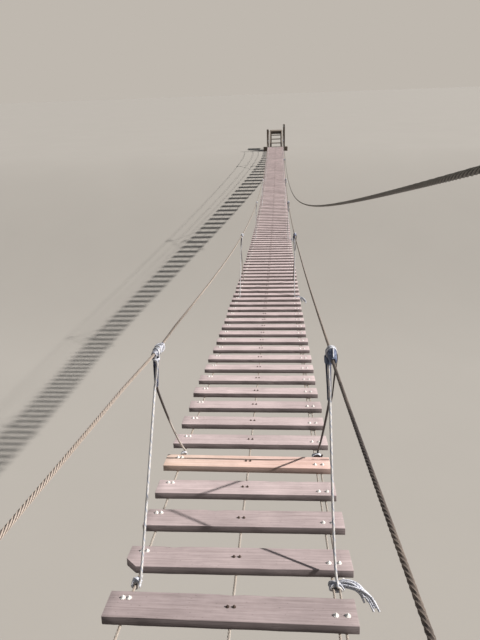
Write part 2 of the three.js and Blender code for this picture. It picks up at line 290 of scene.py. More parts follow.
def wood(nodes, light, dark, line, rough=0.86, relief=0.5, blush=None):
    """Sawn softwood that has weathered outdoors: streaks along the grain, ridges of hard late wood."""
    grain, tone, here = nodes.attribute("grain", "Vector"), nodes.attribute("tone"), nodes.coordinates()
    # Broad streaks 12 mm wide and 0.4 m long, and fine ones of 2.5 mm
    broad = nodes.noise(nodes.stretched(grain, (2.5, 80, 80)), 1.0, 5.0, 0.62, 0.25)
    fine = nodes.noise(nodes.stretched(grain, (9, 400, 400)), 1.0, 3.0)
    # Year rings 4 mm apart round a pith below the board, so the ends show arcs
    rings = nodes.add("TexWave", {"Vector": grain, "Scale": 78.0, "Distortion": 2.2, "Detail": 2.0,
                                  "Detail Scale": 0.06, "Detail Roughness": 0.6}, "Fac",
                      wave_type="RINGS", rings_direction="X", wave_profile="SAW")
    marks = nodes.add("TexVoronoi", {"Vector": nodes.stretched(grain, (28, 90, 90)), "Scale": 1.0}, "Distance")
    shade = nodes.add("ValToRGB", {"Fac": broad}, stops=[(0.30, dark), (0.68, light)])
    for share in (nodes.ranged(rings, 0.55, 1.0, 0.0, 0.2), nodes.ranged(fine, 0.52, 0.76, 0.0, 0.38),
                  nodes.ranged(marks, 0.04, 0.12, 0.75, 0.0)):
        shade = nodes.mixed(share, shade, line)
    if blush:
        # Redder heartwood towards one end
        red = nodes.ranged(nodes.add("SeparateXYZ", {0: here}, "X"), -0.45, 0.4, 0.0, 0.75)
        shade = nodes.mixed(red, shade, blush, blend_type="MULTIPLY")
    # The tone attribute holds each board's tone with the painted shade on its sides
    patches = nodes.ranged(nodes.noise(here, 3.1, 6.0, 0.7), 0.35, 0.7, 0.84, 1.1)
    height = nodes.maths("MULTIPLY_ADD", broad, 2.0, nodes.maths("ADD", fine, rings))
    return nodes.surface((height, relief, 0.9 * MM),
                         Base_Color=nodes.scaled(shade, nodes.maths("MULTIPLY", patches, tone)),
                         Roughness=nodes.ranged(broad, 0.0, 1.0, rough + 0.08, rough - 0.08))


def twisted(nodes, crest_shade, groove_dirt_and_painted_shade, stain, metallic, rough):
    """Laid rope: bright worn crests, dirt and painted shade in the grooves, stains here and there."""
    here = nodes.coordinates()
    # Wires of 0.8 mm are too thin to show, so the flecks are 3 mm long
    flecks, patches = nodes.noise(here, 320.0, 3.0), nodes.noise(here, 2.6, 5.0, 0.7)
    crest = nodes.maths("ADD", nodes.attribute("crest"), nodes.maths("MULTIPLY_ADD", flecks, 0.9, -0.45))
    # Towards the groove colour between the strands: dirt and painted shade
    shade = nodes.add("ValToRGB", {"Fac": crest}, stops=[(0.12, groove_dirt_and_painted_shade), (0.85, crest_shade)])
    return nodes.surface((flecks, 0.5, 0.5 * MM), Metallic=metallic,
                         Base_Color=nodes.mixed(nodes.ranged(patches, 0.48, 0.75, 0.0, 0.7), shade, stain),
                         Roughness=nodes.ranged(patches, 0.0, 1.0, rough - 0.1, rough + 0.12))


def fibre(nodes, base, yarn, sheen=0.25):
    """Plaited polyester cord: matt and a little dirty, with tracer yarns of a second colour."""
    here = nodes.coordinates()
    shade = nodes.mixed(nodes.ranged(nodes.attribute("tracer"), 0.25, 0.6, 0.0, 1.0), base, yarn)
    soil = nodes.ranged(nodes.noise(here, 22.0, 5.0, 0.65), 0.35, 0.7, 0.74, 1.06)
    # Painted shade: the yarns' low points, where they pass under others, are darker
    deep = nodes.ranged(nodes.attribute("crest"), 0.0, 1.0, 0.6, 1.0)
    # Filaments are too thin to show, so the fuzz is 1 mm
    return nodes.surface((nodes.noise(here, 900.0, 2.0), 0.4, 0.4 * MM), Roughness=0.82, Sheen_Weight=sheen,
                         Sheen_Roughness=0.5, Base_Color=nodes.scaled(shade, nodes.maths("MULTIPLY", soil, deep)))


def zinc(nodes, light, dark, rust_share, rough=0.42, shine=1.0):
    """Hot-dip galvanised steel: spangle 9 mm across, gone dull, with rust where the zinc has worn."""
    here = nodes.coordinates()
    spangle = nodes.add("TexVoronoi", {"Vector": here, "Scale": 110.0}, "Color")
    bright, dull = nodes.add("SeparateColor", {0: spangle}).node.outputs[:2]
    cloud = nodes.noise(here, 9.0, 6.0, 0.7)
    worn = nodes.ranged(cloud, 0.64 - rust_share, 0.76 - rust_share, 0.0, 0.85)
    shade = nodes.mixed(worn, nodes.mixed(bright, light, dark), colour("#5c3b27"))
    return nodes.surface((cloud, 0.25, 0.8 * MM), Base_Color=shade,
                         Metallic=nodes.ranged(worn, 0.0, 1.0, shine, 0.15),
                         Roughness=nodes.ranged(dull, 0.0, 1.0, rough - 0.08, rough + 0.16))


def floor_paint(nodes, shade):
    """Matt painted studio floor."""
    cloud = nodes.noise(nodes.coordinates(), 0.35, 3.0)
    return nodes.surface(Base_Color=nodes.scaled(shade, nodes.ranged(cloud, 0.0, 1.0, 0.97, 1.03)),
                         Roughness=0.95)


# What makes each finish, and the material's name. A colour is a code or one of the panel's colours
FINISHES = {
    "weathered plank": (wood, "Weathered softwood plank", "plank_light", "plank_dark", "#4d423e"),
    "new plank": (wood, "New softwood plank", "new_plank", "#d5b8a6", "#a37c62", 0.7, 0.35, "#faeef5"),
    "ground timber": (wood, "Weathered structural timber", "#8d8175", "#5c5148", "#3b332d"),
    "deck rope": (twisted, "Weathered laid wire rope", "deck_rope", "#3a332b", "#9c8570", 0.25, 0.68),
    "hand cable": (twisted, "Dusty laid hand cable", "hand_cable", "#383130", "#8e8175", 0.1, 0.78),
    "safety line": (twisted, "Dark greased wire rope", "#77736c", "#1d1b1a", "#4a4038", 0.55, 0.5),
    "white cord": (fibre, "Plaited white polyester cord", "hanger_rope", "#a4aec2"),
    "navy cord": (fibre, "Plaited navy polyester cord", "serving", "#4a5274"),
    # Its dark yarn colour is dirt on the braces and painted shade on the far ropes
    "soiled cord": (fibre, "Plaited polyester cord, brown with dirt", "#c9c0b8", "#42342f", 0.1),
    "blue cord": (fibre, "Plaited blue polyester cord", "#4a5674", "#8e9ab8"),
    "pale blue cord": (fibre, "Plaited pale blue polyester cord", "#e9ebf4", "#3d476b"),
    "galvanised": (zinc, "Hot-dip galvanised steel", "#c3c5c4", "#8f9393", 0.02),
    "zinc nuts": (zinc, "White-dulled zinc-plated steel", "#f4f2ee", "#dcdad6", -0.08, 0.5, 0.3),
    "dark steel": (zinc, "Rusted dark steel", "#66584f", "#473b35", 0.12, 0.6, 0.4),
}


def finish(name):
    """A finish's material, made the first time that a piece asks for it."""
    maker, title, *values = FINISHES[name]
    if title in bpy.data.materials:
        return bpy.data.materials[title]
    paint = bpy.context.scene.footbridge_colours
    for index, value in enumerate(values):
        if isinstance(value, str):
            values[index] = colour(value) if value[0] == "#" else (*getattr(paint, value), 1.0)
    return maker(Nodes(bpy.data.materials.new(title)), *values)


# Pieces
def place_piece(mesh, name, look, slot, *replaced, sharp=40):
    mesh.name = name
    mesh.materials.clear()
    mesh.materials.append(finish(look))
    mesh.shade_smooth()
    mesh.set_sharp_from_angle(angle=math.radians(sharp))
    piece = bpy.data.objects.new(name, mesh)
    bpy.context.scene.collection.objects.link(piece)
    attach(piece, "root")
    if replaced:
        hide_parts(*replaced)


def to_mesh(bm):
    mesh = bpy.data.meshes.new("part")
    bm.to_mesh(mesh)
    bm.free()
    return mesh


def everything(bm):
    return [*bm.verts, *bm.edges, *bm.faces]


def bevel(bm, edges, offset, segments=2):
    bmesh.ops.bevel(bm, geom=edges, offset=offset, segments=segments, profile=0.5, affect="EDGES", material=-1)


def edges_along(bm, size, axis):
    return [e for e in bm.edges if abs((e.verts[0].co - e.verts[1].co)[axis]) > 0.5 * size[axis]]


def outwards(bm):
    bmesh.ops.recalc_face_normals(bm, faces=bm.faces)


def turned(forward, up=(0, 0, 1)):
    """Turn that takes +Z to forward."""
    z = Vector(forward).normalized()
    x = Vector(up).cross(z)
    if x.length < 1e-4:
        x = Vector((1, 0, 0)).cross(z)
    x.normalize()
    return Matrix((x, z.cross(x), z)).transposed().to_4x4()


def copies(bm, template, places):
    """Adds a template at each place. Nothing is ever deleted from bm, so the newest vertices are its last ones."""
    for place in places:
        start = len(bm.verts)
        bm.from_mesh(template)
        bm.verts.ensure_lookup_table()
        bmesh.ops.transform(bm, matrix=place, verts=bm.verts[start:])


# Boards
def board_template(size, cuts_long, cuts_wide, edge):
    """A board with its grain along X, cut up for wear, and with eased edges."""
    bm = bmesh.new()
    bmesh.ops.create_cube(bm, size=1.0, matrix=Matrix.Diagonal((*size, 1.0)))
    for axis, cuts in ((0, cuts_long), (1, cuts_wide)):
        if cuts:
            bmesh.ops.subdivide_edges(bm, edges=edges_along(bm, size, axis), cuts=cuts, use_grid_fill=True)
    bevel(bm, [e for e in bm.edges if e.calc_face_angle(0.0) > 1.0], edge)
    outwards(bm)
    return to_mesh(bm)


def board_layers(bm):
    """Where the grain runs, and how light the wood is: its tone, the top's bleaching and painted shade on the sides."""
    layers = bm.verts.layers
    return (layers.float_vector.get("grain") or layers.float_vector.new("grain"),
            layers.float.get("tone") or layers.float.new("tone"))


def lay_board(bm, template, size, place, rng, wear=1.0, tone=1.0, sides=0.72):
    """Copies a board into bm and wears its edges and ends. Sides darkens all but its top face: painted shade, partly
    the top's bleaching.
    """
    grain, shade = board_layers(bm)
    start = len(bm.verts)
    bm.from_mesh(template)
    bm.verts.ensure_lookup_table()
    verts = bm.verts[start:]
    away = Vector((rng.uniform(1, 40), rng.uniform(-0.03, 0.03), -rng.uniform(0.035, 0.11)))
    skew = [math.tan(math.radians(rng.uniform(-1.6, 1.6))) for _ in range(2)]
    cup = rng.uniform(-0.6, 0.6) * MM
    half = size / 2
    upper = {v for v in verts if v.co.z > half.z - 1.5 * MM}
    for vert in verts:
        co = vert.co
        seed = Vector((away.x * 3 + co.x * 14, co.y * 9, co.z * 30 + away.z * 100))
        rough = noise.noise(seed)
        chip = max(0.0, noise.noise(seed * 2.3 + Vector((7, 3, 1))) - 0.28)
        local = co.copy()
        if abs(co.y) > half.y - 5 * MM:
            co.y -= math.copysign((0.9 * rough + 0.5) * 1.2 * MM + chip * 11 * MM * (co.z > 0), co.y) * wear
            co.z -= (chip * 7 * MM) * wear * (co.z > 0)
        if abs(co.x) > half.x - 6 * MM:
            side = 0 if co.x < 0 else 1
            co.x += (skew[side] * co.y + rough * 2.4 * MM) * wear
        co.z += (cup * (1 - (local.y / half.y) ** 2) + 0.35 * MM * rough) * wear
    for vert in verts:
        vert[grain] = vert.co + away
        # Painted shade on the sides and underside, partly the top's bleaching
        vert[shade] = tone * (1.0 if vert in upper else sides)
    bmesh.ops.transform(bm, matrix=place, verts=verts)


def deck_place(index):
    """The middle of a plank's top, and how the ropes under it tilt it."""
    y = (index + 0.5) * PITCH
    left, right = LIFTED.get(index, (0, 0))
    middle = at(0, y, deck_top(y) + (left + right) / 2 * MM)
    roll = Matrix.Rotation((left - right) * MM, 4, "Y")
    return Matrix.Translation(middle) @ roll @ Matrix.Rotation(slope(deck_top, y), 4, "X")


def plank_place(index, rng):
    """Where a plank lies: no two are cut or laid quite alike."""
    left, right = PLANK_ENDS.get(index, (rng.uniform(500, 518), rng.uniform(500, 512)))
    lower = Matrix.Translation(((right - left) / 2 * MM, 0, -PLANK.z / 2))
    yaw = Matrix.Rotation(math.radians(rng.uniform(-0.35, 0.35)), 4, "Z")
    longer = Matrix.Scale((left + right) * MM / PLANK.x, 4, (1, 0, 0))
    return deck_place(index) @ yaw @ lower @ longer


class BuildDeck(bpy.types.Operator):
    """Planks of each bay, with the new one that replaced an old one"""

    bl_idname = "footbridge.deck"
    bl_label = "Planks"

    def execute(self, context):
        sizes = context.scene.footbridge_sizes
        rng = random.Random(11)
        fine = board_template(PLANK, 19, 3, 3 * MM)
        coarse = board_template(PLANK, 9, 1, 3 * MM)
        clipped = self.clipped(fine)
        for bay in range(BAY_COUNT):
            bm = bmesh.new()
            for index in range(bay * PER_BAY, (bay + 1) * PER_BAY):
                place = plank_place(index, rng)
                # A tone that differs at random, with painted shade on the nearest planks
                tone = rng.uniform(0.92, 1.06) * NEAR_PLANK_PAINTED_SHADE.get(index, TONE)
                if index == sizes.new_plank:
                    continue
                template = clipped if index == sizes.clipped_plank else fine if bay < 2 else coarse
                # Painted shade on the planks' sides, and painted light that makes farther planks lighter, their sides
                # most of all
                far = min(1.0, index / 70)
                sides = (0.45 if index in NEAR_PLANK_PAINTED_SHADE else 0.38) + 0.5 * far
                lay_board(bm, template, PLANK, place, rng, sizes.wear, tone * (1 + 0.1 * far), sides)
            place_piece(to_mesh(bm), f"planks_bay_{bay + 1}", "weathered plank", "plank", f"deck_bay_{bay + 1}")
        bm = bmesh.new()
        lay_board(bm, self.grooved(), PLANK, plank_place(sizes.new_plank, rng), rng, 0.3, sides=0.62)
        place_piece(to_mesh(bm), "new_plank", "new plank", "plank", "deck_bay_1")
        return {"FINISHED"}

    @staticmethod
    def clipped(template):
        """A plank whose near left corner is sawn off."""
        bm = bmesh.new()
        bm.from_mesh(template)
        corner = Vector((-PLANK.x / 2 + 0.055, -PLANK.y / 2, 0))
        cut = bmesh.ops.bisect_plane(bm, geom=everything(bm), plane_co=corner, plane_no=(-1, -1.05, 0),
                                     clear_outer=True)
        edges = [e for e in cut["geom_cut"] if isinstance(e, bmesh.types.BMEdge)]
        bmesh.ops.contextual_create(bm, geom=edges)
        outwards(bm)
        return to_mesh(bm)

    @staticmethod
    def grooved():
        """The new plank's template, with a groove along its far part."""
        bm = bmesh.new()
        bm.from_mesh(board_template(PLANK, 19, 3, 2 * MM))
        near, far = 0.024, 0.0285
        for y in (near, far):
            bmesh.ops.bisect_plane(bm, geom=everything(bm), plane_co=(0, y, 0), plane_no=(0, 1, 0))
        strip = [f for f in bm.faces if f.normal.z > 0.9 and near < f.calc_center_median().y < far]
        sunk = bmesh.ops.extrude_face_region(bm, geom=strip)
        moved = [v for v in sunk["geom"] if isinstance(v, bmesh.types.BMVert)]
        bmesh.ops.translate(bm, vec=(0, 0, -5 * MM), verts=moved)
        # Its right end runs out towards the far edge
        for vert in bm.verts:
            if near - MM < vert.co.y < far + MM and vert.co.x > 0.16:
                vert.co.y += 0.031 * min(1.0, (vert.co.x - 0.16) / 0.2) ** 1.6
        outwards(bm)
        return to_mesh(bm)


# Fixings
def nut_template(bolt, flats, tall, washer):
    """A hexagon nut on a washer, with the bolt's end standing out of it. The washer's underside is at z 0."""
    bm = bmesh.new()
    parts = (
        (10, washer, 1.6 * MM, 0.0),
        (6, flats / 2 / math.cos(math.pi / 6), tall, 1.6 * MM),
        (6, bolt, 4.5 * MM, 1.6 * MM + tall),
    )
    for sides, radius, depth, low in parts:
        made = bmesh.ops.create_cone(bm, cap_ends=True, segments=sides, radius1=radius, radius2=radius,
                                     depth=depth, matrix=Matrix.Translation((0, 0, low + depth / 2)))
        if radius == washer:
            continue
        top = {v for v in made["verts"] if v.co.z > low + depth / 2}
        rim = [e for e in bm.edges if e.verts[0] in top and e.verts[1] in top]
        bevel(bm, rim, min(1.2 * MM, depth / 3), 1)
    return to_mesh(bm)


def u_bolt_template(bolt, half_span, drop, top):
    """A U-bolt: two legs from z = top, and a bow whose lowest inner point is drop below z 0."""
    bm = bmesh.new()
    bmesh.ops.create_circle(bm, segments=6, radius=bolt, matrix=Matrix.Translation((half_span, 0, top)))
    bmesh.ops.edgeloop_fill(bm, edges=bm.edges)
    low = min(0.0, half_span - bolt - drop)

    def pull(edges, way):
        made = bmesh.ops.extrude_edge_only(bm, edges=edges)["geom"]
        verts = {g for g in made if isinstance(g, bmesh.types.BMVert)}
        bmesh.ops.translate(bm, vec=way, verts=list(verts))
        return [g for g in made if isinstance(g, bmesh.types.BMEdge) and verts.issuperset(g.verts)]

    end = pull(list(bm.edges), (0, 0, low - top))
    bow = bmesh.ops.spin(bm, geom=end, cent=(0, 0, low), axis=(0, 1, 0), angle=math.pi, steps=6)["geom_last"]
    last = [g for g in bow if isinstance(g, bmesh.types.BMEdge)]
    bmesh.ops.edgeloop_fill(bm, edges=pull(last, (0, 0, top - low)))
    bmesh.ops.remove_doubles(bm, verts=bm.verts, dist=1e-6)
    outwards(bm)
    return to_mesh(bm)


class BuildFixings(bpy.types.Operator):
    """U-bolts that hold each plank to the ropes, with their nuts and washers"""

    bl_idname = "footbridge.fixings"
    bl_label = "U-bolts and nuts"

    def execute(self, context):
        bolt = 3.5 * MM
        spans = {"left": 12.5 * MM, "centre": 13 * MM, "right": 22.5 * MM}
        looks = {
            "side": ("zinc nuts", ("left", "right"), nut_template(bolt, 13 * MM, 5.5 * MM, 11.5 * MM)),
            "centre": ("dark steel", ("centre",), nut_template(bolt, 11 * MM, 3.5 * MM, 7.5 * MM)),
        }
        bows = {which: u_bolt_template(bolt, span, rope_gap(which) + 2 * ROPE_RADIUS[which], 6 * MM)
                for which, span in spans.items()}
        for bay in range(BAY_COUNT):
            for part, (look, ropes, nut) in looks.items():
                bm = bmesh.new()
                for index in range(bay * PER_BAY, (bay + 1) * PER_BAY):
                    place = deck_place(index)
                    rng = random.Random(index * 7 + 10)
                    for which in ropes:
                        x = sum(ROPE_AT[which]) / len(ROPE_AT[which])
                        back = rng.uniform(-4, 4) * MM + BOLT_BACK[which]
                        copies(bm, bows[which], [place @ Matrix.Translation((x, -back, -PLANK.z))])
                        spots = [
                            place @ Matrix.Translation((x + way * spans[which], -back, 0))
                            @ Matrix.Rotation(rng.uniform(0, 1), 4, "Z")
                            for way in (-1, 1)
                        ]
                        copies(bm, nut, spots)
                place_piece(to_mesh(bm), f"{part}_fixings_bay_{bay + 1}", look, "galvanised", sharp=30)
        return {"FINISHED"}


# Ropes
def resample(points, step):
    """The same line with its points an even step apart."""
    path = np.array([tuple(p) for p in points])
    lengths = np.linalg.norm(np.diff(path, axis=0), axis=1)
    total = np.concatenate([[0.0], np.cumsum(lengths)])
    count = max(2, int(round(total[-1] / step)))
    wanted = np.linspace(0, total[-1], count + 1)
    return np.stack([np.interp(wanted, total, path[:, k]) for k in range(3)], axis=1), total[-1] / count


def rounded(points, times=2):
    """Cuts the corners of a line, so that a rope takes them in a bend."""
    points = [Vector(p) for p in points]
    for _ in range(times):
        cut = [points[0]]
        for a, b in zip(points, points[1:]):
            cut += [a.lerp(b, 0.25), a.lerp(b, 0.75)]
        points = cut + [points[-1]]
    return points


def sweep(paths, outline=None, radius=None, sides=8, tilts=None, twist="MINIMUM"):
    """Open tubes of an outline, or of a round of the given radius: a ring of vertices at each point of each path."""
    data = bpy.data.curves.new("rope", "CURVE")
    data.dimensions, data.twist_mode, data.use_fill_caps = "3D", twist, False
    if outline:
        data.bevel_mode, data.bevel_object = "OBJECT", outline
    else:
        data.bevel_mode, data.bevel_depth = "ROUND", radius
        data.bevel_resolution = (sides - 4) // 2
    for path in paths:
        spline = data.splines.new("POLY")
        spline.points.add(len(path) - 1)
        spline.points.foreach_set("co", np.insert(path, 3, 1.0, axis=1).ravel())
        if tilts is not None:
            spline.points.foreach_set("tilt", tilts)
    rope = bpy.data.objects.new("rope", data)
    bpy.context.scene.collection.objects.link(rope)
    graph = bpy.context.evaluated_depsgraph_get()
    mesh = bpy.data.meshes.new_from_object(rope.evaluated_get(graph))
    bpy.data.objects.remove(rope)
    return mesh


def write_values(mesh, name, values):
    layer = mesh.attributes.get(name) or mesh.attributes.new(name, "FLOAT", "POINT")
    layer.data.foreach_set("value", np.asarray(values, np.float32).ravel())


def closed(mesh):
    """The same tubes with their ends filled and their faces pointing outwards."""
    bm = bmesh.new()
    bm.from_mesh(mesh)
    bmesh.ops.holes_fill(bm, edges=[e for e in bm.edges if e.is_boundary], sides=0)
    outwards(bm)
    bm.to_mesh(mesh)
    bm.free()
    return mesh


def lay_rope(points, radius, name, look, *node, bright=None):
    """Wire rope of six twisted strands. Bright scales its crests at a point, darkening them where shade is painted on.
    """
    strands, rings = 6, 8
    turn = 16 * radius
    path, step = resample(points, turn / rings)
    data = bpy.data.curves.new("rope outline", "CURVE")
    spline = data.splines.new("POLY")
    spline.points.add(2 * strands - 1)
    for i, point in enumerate(spline.points):
        reach = radius * (0.78 if i % 2 else 1.0)
        point.co = (reach * math.cos(i * math.pi / strands), reach * math.sin(i * math.pi / strands), 0, 1)
    spline.use_cyclic_u = True
    outline = bpy.data.objects.new("rope outline", data)
    mesh = sweep([path], outline=outline, tilts=-2 * math.pi * step * np.arange(len(path)) / turn, twist="Z_UP")
    bpy.data.objects.remove(outline)
    # Below 1 where shade is painted on the crests
    worn = [bright(point) if bright else 1.0 for point in path]
    write_values(mesh, "crest", np.outer(worn, np.tile([1.0, 0.0], strands)))
    place_piece(closed(mesh), name, look, look.replace(" ", "_"), *node, sharp=60)


def plaited(paths, radius, sides, step, flecks=False):
    """Plaited cord: a tube that rises and falls like yarns that cross. Two of them are tracers, or it has flecks."""
    knob = 0.09
    paths = [resample(path, step)[0] for path in paths]
    mesh = sweep(paths, radius=radius, sides=sides)
    co = np.zeros(len(mesh.vertices) * 3, np.float32)
    mesh.vertices.foreach_get("co", co)
    co = co.reshape(-1, sides, 3)
    middle = np.concatenate(paths)[:, None, :]
    row, column = np.arange(len(co))[:, None], np.arange(sides)[None, :]
    up = (row + column) % 2 == 0
    co = middle + (co - middle) * (1 + knob * (up - 0.6))[:, :, None]
    mesh.vertices.foreach_set("co", co.astype(np.float32).ravel())
    write_values(mesh, "crest", up)
    if flecks:
        tracer = (row + 3 * column) % (2 * sides + 1) == 0
    else:
        tracer = ((row + column) % sides == 0) | ((row - column) % sides == sides // 2)
    write_values(mesh, "tracer", tracer)
    return closed(mesh)


def dirt_and_painted_shade(mesh, sides, until):
    """Darkens the first part of a cord, up to a share of its length, through its tracer: dirt on the brace, painted
    shade on the far ropes.
    """
    rings = len(mesh.vertices) // sides
    share = np.repeat(np.arange(rings) / rings, sides)
    write_values(mesh, "tracer", np.clip((until - share) * 8 + 0.5, 0, 1))
    return mesh


class BuildDeckRopes(bpy.types.Operator):
    """Wire ropes under the planks: one on the left, one in the middle, a pair on the right"""

    bl_idname = "footbridge.deck_ropes"
    bl_label = "Deck ropes"

    def execute(self, context):
        self.lay("left", 0, "left_deck_rope_laid", "left_deck_rope")
        self.lay("right", 0, "right_deck_rope_inner_laid", "right_deck_rope_inner")
        self.lay("right", 1, "right_deck_rope_outer_laid", "right_deck_rope_outer")
        self.lay("centre", 0, "centre_deck_rope")
        return {"FINISHED"}

    @staticmethod
    def lay(which, number, name, *node):
        """A rope from one sill's socket to the other's."""
        x, line = ROPE_AT[which][number], deck_rope_line(which)
        inset = ROPE_PLATE["thick"] / 2 + ROPE_PLATE["socket"] + JOIN
        points = [at(x, y, line(y) + lifted(x, y)) for y in np.linspace(inset, SPAN - inset, 2000)]
        lay_rope(points, ROPE_RADIUS[which], name, "deck rope", *node)


def over_pin(end, side):
    """Points of the cable's bend over the pin, from the bridge's side to the stay's."""
    middle, arm, stay = pin_place(end, side)
    reach = CABLE_RADIUS + JOIN + PIN_RADIUS
    peak = cable_peak(end, side)
    first, last = ((peak - middle - way * (peak - middle).dot(way)).normalized() for way in (arm, stay))
    steps = 8
    return [middle + first.slerp(last, i / steps) * reach for i in range(steps + 1)]


class BuildHandCables(bpy.types.Operator):
    """Hand cables, from one ground anchor over the posts to the other"""

    bl_idname = "footbridge.hand_cables"
    bl_label = "Hand cables"

    def execute(self, context):
        near, far = ENDS["near"], ENDS["far"]
        foot = STAY_SOCKET["to"] + JOIN
        for side in ("left", "right"):
            bend_near, bend_far = over_pin(near, side), over_pin(far, side)
            between = np.linspace(bend_near[0].y + 0.02, bend_far[0].y - 0.02, 400)
            points = [at(*p) for p in (on_stay(near, side, foot), *bend_near[::-1])]
            points += [hand_point(side, y) for y in between]
            points += [at(*p) for p in (*bend_far, on_stay(far, side, foot))]
            # The right cable takes painted shade
            lay_rope(points, CABLE_RADIUS, f"{side}_hand_cable_laid", "hand cable", f"{side}_hand_cable",
                     bright=self.painted_shade_on_right_cable if side == "right" else None)
        return {"FINISHED"}

    @staticmethod
    def painted_shade_on_right_cable(point):
        """Painted shade on the right cable: darkest from the near end to the first hanger, and darker than the left
        beyond it.
        """
        return 0.22 + 0.5 * clamped((point[1] - FRONT - 2.85) / 0.15)


class BuildSafetyLine(bpy.types.Operator):
    """Safety line at shoulder height on the right"""

    bl_idname = "footbridge.safety_line"
    bl_label = "Safety line"

    def execute(self, context):
        inset = -POST["back"] + EYE_PLATE["thick"] + EYE_PLATE["socket"] + JOIN
        points = [at(SAFETY["x"], y, safety_line(y)) for y in np.linspace(inset, SPAN - inset, 400)]
        lay_rope(points, SAFETY["radius"], "safety_line_laid", "safety line", "safety_line")
        return {"FINISHED"}


# Hangers
def winds(start, end, pitch):
    """How far a winding cord has come, and how far it has turned, at twelve places in each turn."""
    count = int((end - start) / pitch * 12)
    return [(start + (end - start) * i / count, i * math.pi / 6) for i in range(count + 1)]


